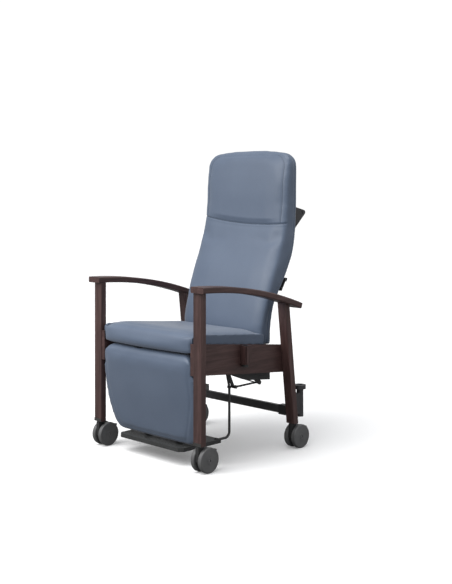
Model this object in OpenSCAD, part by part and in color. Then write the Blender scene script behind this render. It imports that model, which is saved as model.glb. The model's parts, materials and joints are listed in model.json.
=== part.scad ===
// Patient recliner chair: wooden side frames on four twin-wheel casters, a raked seat,
// a reclining high back with a push handle, and a rising legrest whose footplate stays level.
// The chair faces -Y, +X is the sitter's left, and the floor is at z = 0.
// The origin is on the floor, midway between the sides and midway from front to back.

/* [Side frames] */
// Distance between the leg centre lines, side to side
leg_spacing = 579; // [575:1:590]
// Width of a leg, across the chair
leg_w = 42; // [40:1:44]
// Depth of a leg, front to back
leg_d = 27; // [24:1:28]
// Centre line of the front legs, front to back
front_leg_y = -342; // [-345:1:-340]
// Centre line of the rear legs at the foot, front to back
rear_foot_y = 173; // [172:1:180]
// Height of the legs' lower ends above the floor
leg_foot_z = 101; // [101:1:104]
// Rake of the rear legs, the rails' upper edges and the seat, in degrees
rake = 6.4; // [6:0.1:6.8]

/* [Armrests] */
// Width of an armrest
arm_w = 68; // [60:1:72]
// Thickness of an armrest
arm_t = 23; // [20:1:26]
// Height of the highest point of an armrest
arm_top_z = 683; // [680:1:700]
// Radius of the armrest's upper curve, seen from the side
arm_radius = 1660; // [1600:10:1700]
// How far an armrest sits outward of its legs
arm_offset = 11; // [8:1:14]

/* [Rails and seat] */
// Thickness of a side rail
rail_t = 18; // [17:1:19]
// Height of a side rail at the reference line
rail_h = 116; // [112:1:118]
// Slope of a rail's lower edge, in degrees
rail_low_rake = 5.4; // [5:0.1:6.4]
// Height of a rail's upper edge at the reference line
rail_top_z = 463; // [461:1:465]
// Width of the seat cushion
seat_w = 510; // [506:1:514]
// Thickness of the seat board
seat_board_t = 15; // [12:1:16]

/* [Back] */
// Width of the back at the head
back_w = 472; // [460:1:480]
// Width of the back at its lower end
back_low_w = 444; // [436:1:450]
// Height of the top of the back
back_top_z = 1198; // [1190:1:1206]
// Thickness of the upholstered shell behind the cushion
shell_t = 20; // [18:1:22]

/* [Legrest] */
// Width of the legrest pad between the front legs
pad_w = 518; // [510:1:522]
// Distance between the centres of the pad's lower corners
pad_low_w = 330; // [320:1:340]
// Lean of the legrest at rest, in degrees from upright
pad_lean = 9.1; // [8.8:0.1:9.4]
// Width of the footplate
foot_w = 366; // [362:1:370]
// Thickness of the footplate
foot_t = 15; // [14:1:16]

/* [Casters] */
// Radius of a caster wheel
wheel_r = 47; // [46:0.5:48]
// Thickness of one of the two wheels of a caster
wheel_t = 18; // [17:1:18]
// Trail of a caster, from its swivel axis to its axle
caster_trail = 26; // [24:1:27]

/* [Hidden] */
$fn = 64;
eps = 0.01;

// Colours
wood = [0.23, 0.15, 0.14];
vinyl = [0.40, 0.47, 0.57];
black = [0.10, 0.10, 0.10];
wheel_grey = [0.27, 0.27, 0.27];
steel = [0.62, 0.63, 0.64];
ply = [0.66, 0.52, 0.36];

// Side frames
leg_x = leg_spacing / 2;
leg_in_x = leg_x - leg_w / 2;
edge_r = 3;
arm_front_y = -366;
arm_rear_y = 184;
arm_apex_y = -380;
arm_x = leg_x + arm_offset;
arm_a0 = asin((arm_front_y - arm_apex_y) / arm_radius);
arm_a1 = asin((arm_rear_y - arm_apex_y) / arm_radius);
arm_centre_z = arm_top_z - arm_radius;
arm_under_r = arm_radius - arm_t;

// Rails: the upper edge falls to the rear by the rake
rail_ref_y = -286;
rail_front_y = -352;
rail_rear_y = 160;
rail_in_x = leg_in_x - rail_t;
function rail_top(y) = rail_top_z - tan(rake) * (y - rail_ref_y);
function rail_low(y) = rail_top_z - rail_h - tan(rail_low_rake) * (y - rail_ref_y);
function rear_leg_y(z) = rear_foot_y - tan(rake) * (z - leg_foot_z);
bolt_r = 4;
bolt_head_r = 7;
bolt_head_h = 4;
bolt_places = [[front_leg_y, 446], [front_leg_y, 385], [rear_leg_y(385), 385], [rear_leg_y(335), 335]];
bolt_clear = 0.5;
pin_in_rail = 12;
fit_gap = 0.05;

// Tray sockets, stretcher and pole holder
tray_y = -90;
tray_len = 35;
tray_w = 30;
tray_low_z = 368;
tray_chamfer = 28;
tray_top_z = rail_top(tray_y + tray_len / 2);
tray_bore_r = 8;
tray_bore_y = -94;
tray_sleeve_r = 11.5;
tray_sleeve_z = 358;
tray_slot_y = -106;
tray_slot_w = 5;
tray_slot_depth = 3;
stretcher_z = 150;
stretcher_h = 31;
stretcher_t = 16;
stretcher_half = 250;
plate_x = -209;
bracket_len = 37;
bracket_h = 39;
holder_y = 219;
holder_low_z = 121;
holder_h = 127;
holder_floor = 8;
holder_r = 14;
holder_bore_r = 10.5;
holder_flange_r = 24;
holder_flange_h = 16;
holder_plate_t = 18;
holder_plate_h = 84;
holder_plate_z = 133;
holder_reach = 50;

// Seat
seat_front_y = -359;
seat_rear_y = 40;
seat_h = 48;
seat_front_r = 24;
seat_edge_z = 487;
seat_lift = 0.3;
lip_z = 431;
lip_t = 34;
lip_w = 496;
lip_r = 12;
board_rear_y = 38;
board_front_y = -322;
tube_h = 30;
tube_w = 25;
tube_wall = 2;
side_tube_front_y = -283;
side_tube_rear_y = 45;
front_tube_y = -304;
rear_tube_y = 19;
cross_tube_d = 20;
function board_low(y) = rail_top(y) - seat_board_t / cos(rake);

// Back: pivot, then the front and rear lines of the back in the side view as [y, z]
back_pivot = [68, 400];
back_front = [[45, 413], [50, 475], [62, 530], [84, 600], [116, 690], [154, 780],
              [186, 875], [197, 950], [201, 1020], [207, 1090], [216, 1150]];
back_rear = [[112, 413], [113, 490], [122, 546], [142, 600], [186, 666], [211, 711],
             [232, 752], [248, 798], [259, 860], [265, 960], [267, 1060], [267, 1150]];
back_low_z = 413;
back_front_top = [[226, back_top_z - 14], [238, back_top_z]];
back_rear_top = [[262, back_top_z - 18], [247, back_top_z - 3]];
curve_steps = 3;
crown_r = 1150;
crown_corner_r = 58;
shell_gap = 0.3;
tube_r = 11;
upright_x = 150;
upright_w = 30;
upright_t = 6;
upright_top_z = 930;
upright_foot_z = 394;
upright_foot_h = 12;
upright_gap = 0.2;
paddle_x = 211;
paddle_w = 40;
paddle_top = [200, 672];
paddle_low = [173, 628];
paddle_r = 5;
paddle_ear_t = 3;
paddle_ear_turn = -126;
back_lever_r = 50;
back_lever_lean = 20;
pin_r = 3;
pivot_r = 5;

// Push handle
fin_x = 184;
fin_t = 14;
grip_r = 14;
grip_at = [346, 938];
fin_root = [[256, 830], [260.4, 860], [266, 960], [267.6, 972]];
fin_tip = [359, 939];
fin_tip_r = 10;

// Legrest linkage. The legrest (A-B), the footplate (B-D) and the levers (C-D) make a parallelogram,
// and the lever (C-T), the link rod (T-F) and the rocker (E-F) make a second one.
hinge_a = [-330, 398];
hinge_b = [-258, 82];
hinge_d = [-136, 66];
hinge_c = hinge_a + hinge_d - hinge_b;
hinge_t = [-50, 262];
hinge_f = [78, 264];
hinge_e = hinge_c + hinge_f - hinge_t;
pad_r = 26;
pad_back = 4;
pad_len = 320;
pad_half = pad_w / 2;
pad_in_rails = rail_in_x - 1;
pad_corner_r = 62;
pad_edge_r = 14;
board_back = 14;
board_len = 300;
board_edge = 14;
bar_x = 90;
bar_w = 25;
bar_back = 19;
bar_eye_half = 4;
bar_len = 314;
foot_corner = 16;
foot_notch_half = 6;
foot_notch_len = 24;
foot_rib_count = 5;
foot_rib_pitch = 9;
foot_rib_w = 4;
foot_rib_depth = 1.2;
foot_hollow = 8;
foot_rim = 20;
foot_lug_gap = 5;
foot_lug_t = 7;
foot_lug_r = 7;
foot_front_y = -337;
foot_rear_y = -125;
foot_top_z = 70;
lever_x = 170;
lever_r = 5;
plate_t = 4;
plate_in_x = lever_x + 2;
rod_low_y = -66;
rod_bend_r = 22;
rod_knee = [-66, 262];
rod_elbow = [-85, 337];
lever_eye_half = 5.5;
lever_hub_r = 11;
lever_hub_t = 8;
lever_plate_r = 13;
crank_r = 7;
open_pivot_gap = 0.6;
shaft_r = 6;
link_x = 188;
link_r = 4;
link_eye_half = 4.5;
rocker_x = 195;
rocker_t = 5;
rocker_r = 9;
brace_r = 2.5;
brace_start = hinge_f - [14, 0];
brace_end = hinge_f + [-113, 35];
housing_in_x = 182;
housing_out_x = 204;
housing_wall = 2.5;
housing_front_y = -94;
housing_step_y = 14;
housing_rear_y = 128;
housing_top_z = hinge_e[1] + 13;
housing_line = [
    [housing_front_y, housing_top_z], [housing_front_y, 320], [-50, 302], [0, 284], [housing_rear_y, 270],
    [housing_rear_y, 370], [housing_step_y + 4, 380], [housing_step_y, housing_top_z]
];
eye_r = 8;

// Gas springs, at x = spring_x for the back and -spring_x for the legrest
spring_x = 60;
spring_body_r = 11;
spring_rod_r = 4;
spring_body_len = 178;
back_anchor = [-235, 352];
leg_anchor = [10, 352];
leg_lever_r = 28;
leg_lever_lean = 32.5;
back_pin = back_pivot + back_lever_r * [sin(back_lever_lean), -cos(back_lever_lean)];
leg_pin = hinge_a + leg_lever_r * [sin(leg_lever_lean), -cos(leg_lever_lean)];
eye_hole_r = 3.9;
back_slot = 3.2;
leg_slot = 5.6;
eye_wall = 3;
anchor_half = 5.5;
plate_thin = 3;

// Casters
wheel_gap = 10;
fork_half = 8;
axle_r = 4;
axle_half = 26;
stem_r = 5.5;
stem_len = 42;
collar_r = 14;
collar_h = 3;
stem_root = 12;
axle_at = [caster_trail, wheel_r];
hood_r = 37;
hood_low_z = 44;
hood_slot_half = 5;
hood_cut = [8, 44];
hood_cut_z = 28;
pedal_slot = [44, 52];
hub_r = 12;
tread_r = 4;
pedal_pivot = [52, 66];
pedal_tip = [76, 74];
pedal_pin_r = 2;
pedal_pad = [14, 7, 6];

// ---------- shared shapes ----------

// Extrudes a side view, drawn as (y, z), from x = x0 to x = x1
module across(x0, x1) {
    translate([x0, 0, 0])
        rotate([90, 0, 90])
            linear_extrude(x1 - x0)
                children();
}

module both_sides() {
    children();
    mirror([1, 0, 0])
        children();
}

// Cylinder along X from x0 to x1, centred on the side-view point p
module pin(p, r, x0, x1) {
    translate([x0, p[0], p[1]])
        rotate([0, 90, 0])
            cylinder(h = x1 - x0, r = r);
}

// Straight round bar between two side-view points, at x
module side_bar(p, q, r, x) {
    translate([x, p[0], p[1]])
        rotate([-atan2(q[0] - p[0], q[1] - p[1]), 0, 0])
            cylinder(h = norm(q - p), r = r);
}

// Side-view strip with round ends of radius r; its straight sides stand in a little from the rounds
module strip(p, q, r) {
    side = 0.985 * r;
    translate(p)
        circle(r);
    translate(q)
        circle(r);
    translate(p)
        rotate(atan2(q[1] - p[1], q[0] - p[0]))
            translate([0, -side])
                square([norm(q - p), 2 * side]);
}

module rounded_rect(w, h, r) {
    square([w - 2 * r, h], center = true);
    square([w, h - 2 * r], center = true);
    for (sx = [-1, 1], sy = [-1, 1])
        translate([sx * (w / 2 - r), sy * (h / 2 - r)])
            circle(r);
}

function arc(c, r, a0, a1, n) = [for (i = [0:n]) c + r * [cos(a0 + (a1 - a0) * i / n), sin(a0 + (a1 - a0) * i / n)]];

// Smooth curve through the points p, with n steps between neighbours
function curve_at(a, b, c, d, t) =
    0.5 * (2 * b + (c - a) * t + (2 * a - 5 * b + 4 * c - d) * t * t + (3 * b - a - 3 * c + d) * t * t * t);
function smooth(p, n) = [
    for (i = [0:len(p) - 2], k = [0:n - 1])
        curve_at(p[max(i - 1, 0)], p[i], p[i + 1], p[min(i + 2, len(p) - 1)], k / n),
    p[len(p) - 1]
];
function reversed(p) = [for (i = [len(p) - 1:-1:0]) p[i]];
function shifted(p, dy) = [for (q = p) [q[0] + dy, q[1]]];

// ---------- side frames ----------

module under_arm() {
    across(0, leg_x * 2)
        translate([arm_apex_y, arm_centre_z])
            circle(arm_under_r, $fn = 360);
}

module front_leg() {
    color(wood)
        difference() {
            intersection() {
                translate([leg_x, front_leg_y, leg_foot_z])
                    linear_extrude(arm_top_z - leg_foot_z)
                        rounded_rect(leg_w, leg_d, edge_r);
                under_arm();
            }
            stem_hole(front_leg_y);
            leg_bolt_holes();
        }
}

module rear_leg() {
    color(wood)
        difference() {
            intersection() {
                translate([leg_x, rear_foot_y, leg_foot_z])
                    rotate([rake, 0, 0])
                        translate([0, 0, -leg_d])
                            linear_extrude(arm_top_z)
                                rounded_rect(leg_w, leg_d, edge_r);
                under_arm();
                translate([0, 0, leg_foot_z])
                    cube([leg_x * 2, arm_rear_y + leg_d, arm_top_z]);
            }
            stem_hole(rear_foot_y);
            leg_bolt_holes();
        }
}

module stem_hole(y) {
    translate([leg_x, y, leg_foot_z - eps])
        cylinder(h = stem_len + 1, r = stem_r + fit_gap);
}

module leg_bolt_holes() {
    for (p = bolt_places)
        pin(p, bolt_r + fit_gap, rail_in_x, leg_x - bolt_r);
}

module armrest() {
    color(wood)
        intersection() {
            translate([arm_x, arm_apex_y, arm_centre_z])
                rotate([0, 90, 0])
                    rotate_extrude($fn = 360)
                        translate([arm_radius - arm_t / 2, 0])
                            rounded_rect(arm_t, arm_w, edge_r + 2);
            across(arm_x - arm_w, arm_x + arm_w)
                polygon([
                    [arm_apex_y, arm_centre_z],
                    [arm_apex_y, arm_centre_z] + 2 * arm_radius * [sin(arm_a0), cos(arm_a0)],
                    [arm_apex_y, arm_centre_z] + 2 * arm_radius * [sin(arm_a1), cos(arm_a1)]
                ]);
        }
}

module side_rail() {
    color(wood)
        difference() {
            across(rail_in_x, leg_in_x)
                polygon([
                    [rail_front_y, rail_low(rail_front_y)], [rail_rear_y, rail_low(rail_rear_y)],
                    [rail_rear_y, rail_top(rail_rear_y)], [rail_front_y, rail_top(rail_front_y)]
                ]);
            for (p = bolt_places) {
                pin(p, bolt_r + fit_gap, rail_in_x - eps, leg_in_x + eps);
                pin(p, bolt_head_r + bolt_clear, rail_in_x - eps, rail_in_x + bolt_head_h + 2 * bolt_clear);
            }
            for (p = [hinge_a, back_pivot])
                pin(p, pivot_r + fit_gap, rail_in_x - eps, rail_in_x + pin_in_rail);
            pin(hinge_c, shaft_r + fit_gap, rail_in_x - eps, rail_in_x + pin_in_rail);
        }
}

module frame_bolts() {
    color(steel)
        both_sides()
            for (p = bolt_places) {
                pin(p, bolt_head_r, rail_in_x + 2 * bolt_clear, rail_in_x + 2 * bolt_clear + bolt_head_h);
                pin(p, bolt_r, rail_in_x + 2 * bolt_clear, leg_x - bolt_r - 1);
            }
}

// Wooden blocks on the rails, each bored through for a sleeve
module tray_sockets() {
    color(wood)
        both_sides()
            difference() {
                across(leg_in_x, leg_in_x + tray_w)
                    polygon([
                        [tray_y - tray_len / 2, tray_low_z], [tray_y, tray_low_z],
                        [tray_y + tray_len / 2, tray_low_z + tray_chamfer],
                        [tray_y + tray_len / 2, tray_top_z], [tray_y - tray_len / 2, tray_top_z]
                    ]);
                translate([leg_in_x + tray_w / 2, tray_bore_y, 0])
                    cylinder(h = arm_top_z, r = tray_sleeve_r + fit_gap);
                translate([leg_in_x + tray_w - tray_slot_depth, tray_slot_y, 0])
                    cube([tray_w, tray_slot_w, arm_top_z]);
            }
}

// Black sleeves in the blocks, standing out below, that take a post from underneath
module tray_sleeves() {
    color(black)
        both_sides()
            translate([leg_in_x + tray_w / 2, tray_bore_y, tray_sleeve_z])
                difference() {
                    cylinder(h = tray_top_z - tray_sleeve_z, r = tray_sleeve_r);
                    translate([0, 0, -eps])
                        cylinder(h = tray_top_z, r = tray_bore_r);
                }
}

// Bright metal shoes on the front faces of the feet, a small plate on the stretcher and the rail bolts
module bright_fittings() {
    frame_bolts();
    shoe_t = 1.2;
    shoe_h = 12;
    plate_w = 26;
    plate_h = 27;
    color(steel) {
        both_sides()
            translate([leg_x - leg_w / 2, front_leg_y - leg_d / 2 - shoe_t, leg_foot_z])
                cube([leg_w, shoe_t, shoe_h]);
        translate([plate_x, rear_leg_y(stretcher_z) - shoe_t, stretcher_z + stretcher_h / 2])
            cube([plate_w, 2 * shoe_t, plate_h]);
    }
}

module rear_stretcher() {
    y = rear_leg_y(stretcher_z);
    color(black)
        translate([-stretcher_half, y - stretcher_t / 2, stretcher_z - stretcher_h / 2])
            cube([2 * stretcher_half, stretcher_t, stretcher_h]);
}

module stretcher_brackets() {
    y = rear_leg_y(stretcher_z);
    color(black)
        both_sides()
            difference() {
                translate([leg_in_x - bracket_len, y - leg_d / 2, stretcher_z - bracket_h / 2])
                    cube([bracket_len, leg_d, bracket_h]);
                translate([0, y - stretcher_t / 2, stretcher_z - stretcher_h / 2])
                    cube([stretcher_half, stretcher_t, stretcher_h]);
            }
}

module pole_holder() {
    color(black)
        difference() {
            union() {
                translate([leg_x, holder_y, holder_low_z])
                    cylinder(h = holder_h, r = holder_r);
                translate([leg_x, holder_y, holder_low_z + holder_h - holder_flange_h])
                    cylinder(h = holder_flange_h, r = holder_flange_r);
                translate([leg_x - holder_plate_t / 2, holder_y - holder_reach, holder_plate_z])
                    cube([holder_plate_t, holder_reach - holder_bore_r, holder_plate_h]);
            }
            translate([leg_x, holder_y, holder_low_z + holder_floor])
                cylinder(h = holder_h, r = holder_bore_r);
            translate([leg_x, rear_foot_y, leg_foot_z])
                rotate([rake, 0, 0])
                    translate([-leg_w / 2, -leg_w, 0])
                        cube([leg_w, leg_w + leg_d / 2, arm_top_z]);
        }
}

// ---------- seat ----------

module seat_side_tubes() {
    color(steel)
        both_sides()
            difference() {
                seat_tube_side(rail_in_x - tube_w, rail_in_x, 0);
                seat_tube_side(rail_in_x - tube_w + tube_wall, rail_in_x - tube_wall, tube_wall);
            }
}

module seat_tube_side(x0, x1, wall) {
    extra = wall > 0 ? eps : 0;
    across(x0, x1)
        polygon([
            [side_tube_front_y - extra, board_low(side_tube_front_y) - tube_h + wall],
            [side_tube_rear_y + extra, board_low(side_tube_rear_y) - tube_h + wall],
            [side_tube_rear_y + extra, board_low(side_tube_rear_y) - wall],
            [side_tube_front_y - extra, board_low(side_tube_front_y) - wall]
        ]);
}

module seat_cross_tubes() {
    color(steel)
        for (y = [front_tube_y, rear_tube_y])
            difference() {
                cross_tube(y, y == front_tube_y ? rail_in_x : rail_in_x - tube_w, 0);
                cross_tube(y, rail_in_x + eps, tube_wall);
            }
}

module cross_tube(y, half, wall) {
    across(-half, half)
        polygon([
            [y + wall, board_low(y + cross_tube_d) - tube_h + wall],
            [y + cross_tube_d - wall, board_low(y + cross_tube_d) - tube_h + wall],
            [y + cross_tube_d - wall, board_low(y + cross_tube_d) - wall],
            [y + wall, board_low(y) - wall]
        ]);
}

module seat_board() {
    color(ply)
        across(-rail_in_x, rail_in_x)
            polygon([
                [board_front_y, board_low(board_front_y)], [board_rear_y, board_low(board_rear_y)],
                [board_rear_y, rail_top(board_rear_y)], [board_front_y, rail_top(board_front_y)]
            ]);
}

module seat_cushion() {
    color(vinyl) {
        across(-seat_w / 2, seat_w / 2)
            polygon(concat(
                [[seat_rear_y, rail_top(seat_rear_y) + seat_lift], [seat_rear_y, rail_top(seat_rear_y) + seat_h]],
                arc([seat_front_y + seat_front_r, seat_edge_z], seat_front_r, 90 - rake, 180, 6),
                [[seat_front_y, rail_top(seat_front_y) + seat_lift]]
            ));
        across(-lip_w / 2, lip_w / 2)
            polygon(concat(
                [[seat_front_y + lip_t, rail_top(seat_front_y + lip_t) + 2 * seat_lift]],
                [[seat_front_y, rail_top(seat_front_y) + 2 * seat_lift]],
                arc([seat_front_y + lip_r, lip_z + lip_r], lip_r, 180, 270, 4),
                [[seat_front_y + lip_t, lip_z]]
            ));
    }
}

// Pairs of plates under the cross tubes that anchor the two gas springs
module anchor_plates(x, anchor, tube_y) {
    tube_z = board_low(tube_y + cross_tube_d) - tube_h;
    for (s = [-1, 1])
        translate([s > 0 ? x + anchor_half : x - anchor_half - plate_thin, 0, 0])
            across(0, plate_thin) {
                translate(anchor)
                    circle(eye_r);
                polygon([
                    [tube_y, tube_z], [tube_y + cross_tube_d, tube_z],
                    anchor + [eye_r, 0], anchor - [eye_r, 0]
                ]);
            }
}

module spring_brackets() {
    color(black) {
        anchor_plates(spring_x, back_anchor, front_tube_y);
        anchor_plates(-spring_x, leg_anchor, rear_tube_y);
    }
}

// Fixed pins: legrest and back pivots in the rails, the lever shaft, the rocker pin and the anchors
module pivot_pins() {
    color(steel) {
        both_sides()
            for (p = [hinge_a, back_pivot])
                pin(p, pivot_r, rail_in_x - 22, rail_in_x + pin_in_rail - 1);
        pin(hinge_c, shaft_r, 1 - rail_in_x - pin_in_rail, rail_in_x + pin_in_rail - 1);
        pin(hinge_e, axle_r, housing_in_x, housing_out_x);
        pin(back_anchor, pin_r, spring_x - anchor_half, spring_x + anchor_half);
        pin(leg_anchor, pin_r, -spring_x - anchor_half, -spring_x + anchor_half);
    }
}

// Channel under the seat that carries the rocker, open below and in front
module mechanism_housing() {
    color(black) {
        for (x = [housing_in_x - housing_wall, housing_out_x])
            across(x, x + housing_wall)
                polygon(housing_line);
        translate([housing_in_x - housing_wall, housing_front_y, housing_top_z])
            cube([rail_in_x - tube_w - housing_in_x + housing_wall, housing_step_y - housing_front_y, 3]);
        translate([housing_in_x - housing_wall, housing_rear_y, housing_line[4][1]])
            cube([
                housing_out_x - housing_in_x + 2 * housing_wall, housing_wall,
                housing_line[5][1] - housing_line[4][1]
            ]);
    }
}

// ---------- gas springs ----------

// Lies along +Y from its anchor: the cylinder's eye at the origin
module spring_cylinder() {
    difference() {
        union() {
            rotate([-90, 0, 0])
                cylinder(h = spring_body_len + 20, r = spring_rod_r);
            translate([0, 16, 0])
                rotate([-90, 0, 0])
                    cylinder(h = spring_body_len, r = spring_body_r);
            translate([1 - anchor_half, 0, 0])
                rotate([0, 90, 0])
                    cylinder(h = 2 * anchor_half - 2, r = eye_r);
        }
        translate([-spring_body_r, 0, 0])
            rotate([0, 90, 0])
                cylinder(h = 2 * spring_body_r, r = pin_r + fit_gap);
        translate([0, 40, 0])
            rotate([-90, 0, 0])
                cylinder(h = spring_body_len, r = spring_rod_r + fit_gap);
    }
}

// The rod's slotted eye at y = len, its inner end inside the cylinder. The slot takes up the arc of the pin.
module spring_rod(len, inner, slot) {
    difference() {
        union() {
            translate([0, inner, 0])
                rotate([-90, 0, 0])
                    cylinder(h = len - inner - eye_hole_r - 1, r = spring_rod_r);
            across(1 - anchor_half, anchor_half - 1)
                strip([len, 0], [len, slot], eye_hole_r + eye_wall);
        }
        across(-spring_body_r, spring_body_r)
            strip([len, 0], [len, slot], eye_hole_r);
    }
}

module place_spring(x, from, to) {
    translate([x, from[0], from[1]])
        rotate([atan2(to[1] - from[1], to[0] - from[0]), 0, 0])
            children();
}

module back_spring_cylinder() {
    color(black)
        place_spring(spring_x, back_anchor, back_pin)
            spring_cylinder();
}

module legrest_spring_cylinder() {
    color(black)
        place_spring(-spring_x, leg_anchor, leg_pin)
            spring_cylinder();
}

module back_spring_rod() {
    color(steel)
        place_spring(spring_x, back_anchor, back_pin)
            spring_rod(norm(back_pin - back_anchor), 100, -back_slot);
}

module legrest_spring_rod() {
    color(steel)
        place_spring(-spring_x, leg_anchor, leg_pin)
            spring_rod(norm(leg_pin - leg_anchor), 90, leg_slot);
}

// ---------- back ----------

module back_outline() {
    half = back_w / 2;
    crown_z = back_top_z - crown_r;
    meet = acos((half - crown_corner_r) / (crown_r - crown_corner_r));
    corner_z = crown_z + (crown_r - crown_corner_r) * sin(meet);
    right = concat(
        [[back_low_w / 2, back_low_z], [half - 2, 640], [half, 720]],
        arc([half - crown_corner_r, corner_z], crown_corner_r, 0, meet, 8),
        arc([0, crown_z], crown_r, meet, 90, 6)
    );
    left = reversed([for (p = right) [-p[0], p[1]]]);
    translate([0, arm_rear_y * 2, 0])
        rotate([90, 0, 0])
            linear_extrude(arm_rear_y * 2)
                polygon(concat(right, left));
}

module back_cushion() {
    front = smooth(back_front, curve_steps);
    rear = shifted(smooth(back_rear, curve_steps), -shell_t - shell_gap);
    color(vinyl)
        intersection() {
            across(-back_w, back_w)
                polygon(concat(
                    front,
                    back_front_top,
                    [[rear[len(rear) - 1][0], back_top_z]],
                    reversed(rear)
                ));
            back_outline();
        }
}

module back_shell() {
    rear = smooth(back_rear, curve_steps);
    color(vinyl)
        intersection() {
            across(-back_w, back_w)
                polygon(concat(
                    rear,
                    back_rear_top,
                    reversed(shifted(rear, -shell_t))
                ));
            back_outline();
        }
}

module back_pivot_tube() {
    color(black)
        difference() {
            union() {
                pin(back_pivot, tube_r, -rail_in_x + 2, rail_in_x - 2);
                for (x = [spring_x - anchor_half - plate_thin, spring_x + anchor_half])
                    across(x, x + plate_thin)
                        strip(back_pivot, back_pin, eye_r);
                pin(back_pin, pin_r, spring_x - anchor_half - plate_thin, spring_x + anchor_half + plate_thin);
            }
            for (s = [-1, 1])
                pin(back_pivot, pivot_r + fit_gap, s > 0 ? rail_in_x - 24 : -rail_in_x - 1,
                    s > 0 ? rail_in_x + 1 : -rail_in_x + 24);
        }
}

module back_frame() {
    top = [for (p = smooth(back_rear, curve_steps)) if (p[1] < upright_top_z) p];
    color(black) {
        difference() {
            paddle_bracket();
            back_shell();
        }
        both_sides()
            difference() {
                across(upright_x - upright_w / 2, upright_x + upright_w / 2)
                    polygon(concat(
                        [[back_pivot[0], upright_foot_z], [top[0][0] + upright_t, upright_foot_z]],
                        shifted(top, upright_t),
                        reversed(shifted(top, upright_gap)),
                        [[top[0][0] + upright_gap, upright_foot_z + upright_foot_h]],
                        [[back_pivot[0], upright_foot_z + upright_foot_h]]
                    ));
                pin(back_pivot, tube_r, 0, rail_in_x);
            }
    }
}

// Wing-shaped brackets behind the head that carry the push handle
module handle_brackets() {
    color(black)
        both_sides()
            difference() {
                across(fin_x - fin_t / 2, fin_x + fin_t / 2)
                    polygon(concat(fin_root, arc(fin_tip, fin_tip_r, 75, -40, 6)));
                pin(grip_at, grip_r / 2, 0, fin_x + fin_t);
            }
}

module handle_grip() {
    color(black) {
        pin(grip_at, grip_r, -fin_x + fin_t / 2, fin_x - fin_t / 2);
        pin(grip_at, grip_r / 2, -fin_x - fin_t / 2 + 2, fin_x + fin_t / 2 - 2);
    }
}

// Paddle on the left rear edge of the shell that frees the back's gas spring
module recline_lever() {
    color(black)
        difference() {
            across(paddle_x - paddle_w / 2, paddle_x + paddle_w / 2) {
                translate(paddle_top)
                    circle(paddle_r);
                strip(paddle_top, paddle_low, pin_r);
            }
            pin(paddle_top, pin_r / 2 + fit_gap, 0, back_w);
        }
}

// Two ears and a pin on the shell that hold the paddle
module paddle_bracket() {
    for (side = [-1, 1])
        translate([paddle_x + side * (paddle_w + paddle_ear_t + 1) / 2 - paddle_ear_t / 2, 0, 0])
            across(0, paddle_ear_t) {
                translate(paddle_top)
                    circle(paddle_r);
                translate(paddle_top)
                    rotate(paddle_ear_turn)
                        translate([0, -paddle_r])
                            square(2 * paddle_r);
            }
    pin(paddle_top, pin_r / 2, paddle_x - paddle_w / 2 - 1, paddle_x + paddle_w / 2 + 1);
}

// ---------- legrest ----------

// Draws a side view in the legrest's own frame: origin at hinge A, +x towards its front face, -y along it
module legrest_side(x0, x1) {
    translate([0, hinge_a[0], hinge_a[1]])
        rotate([pad_lean, 0, 0])
            across(x0, x1)
                mirror([1, 0])
                    children();
}

// Front view of the pad: rounded above, narrow between the rails, then as wide as the legs allow
module legrest_front(depth) {
    right = concat(
        [[pad_half - 54, pad_r + 1], [pad_half - 38, 20], [pad_half - 23, 8], [pad_in_rails - 3, -8]],
        [[pad_in_rails, -26], [pad_in_rails, -50], [pad_half - 2, -60], [pad_half, -72], [pad_half, -140]],
        [[pad_half - 6, -180], [pad_half - 15, -216]],
        arc([pad_low_w / 2, pad_corner_r - pad_len], pad_corner_r, -12, -78, 5),
        [[0, -pad_len - 4]]
    );
    left = reversed([for (p = right) [-p[0], p[1]]]);
    translate([0, hinge_a[0], hinge_a[1]])
        rotate([pad_lean, 0, 0])
            translate([0, depth, 0])
                rotate([90, 0, 0])
                    linear_extrude(2 * depth)
                        polygon(concat(right, left));
}

module legrest_tube() {
    color(black)
        difference() {
            union() {
                pin(hinge_a, tube_r, 3 - rail_in_x, rail_in_x - 3);
                for (x = [-spring_x - anchor_half - plate_thin, -spring_x + anchor_half])
                    across(x, x + plate_thin)
                        strip(hinge_a, leg_pin, 6);
                pin(leg_pin, pin_r, -spring_x - anchor_half - plate_thin, -spring_x + anchor_half + plate_thin);
            }
            for (s = [-1, 1])
                pin(hinge_a, pivot_r + fit_gap, s > 0 ? rail_in_x - 24 : -rail_in_x - 1,
                    s > 0 ? rail_in_x + 1 : -rail_in_x + 24);
        }
}

module legrest_bars() {
    foot = [(hinge_b - hinge_a) * [-cos(pad_lean), -sin(pad_lean)],
            (hinge_b - hinge_a) * [-sin(pad_lean), cos(pad_lean)]];
    color(black)
        both_sides()
            difference() {
                union() {
                    legrest_side(bar_x - bar_w / 2, bar_x + bar_w / 2)
                        polygon([
                            [-bar_back, -tube_r], [-bar_back, -bar_len],
                            [-board_back, -bar_len], [-board_back, -tube_r],
                            [-board_back, 0], [-bar_back, 0]
                        ]);
                    legrest_side(bar_x - bar_eye_half, bar_x + bar_eye_half)
                        strip([-bar_back + 2, bar_eye_half * 2 - bar_len], foot, 6);
                    pin(hinge_b, eye_r, bar_x - bar_eye_half, bar_x + bar_eye_half);
                    legrest_side(bar_x - bar_w / 2, bar_x + bar_w / 2)
                        polygon([[-bar_back, -5], [-bar_back, 0], [0, 0], [0, -5]]);
                }
                pin(hinge_b, pin_r + fit_gap, bar_x - bar_w, bar_x + bar_w);
                pin(hinge_a, tube_r, 0, rail_in_x);
            }
}

module legrest_board() {
    color(ply)
        intersection() {
            legrest_side(board_edge - pad_half, pad_half - board_edge)
                polygon([
                    [-board_back, -44], [-board_back, -board_len],
                    [-pad_back - 0.2, -board_len], [-pad_back - 0.2, -44]
                ]);
            legrest_front(60);
        }
}

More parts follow.
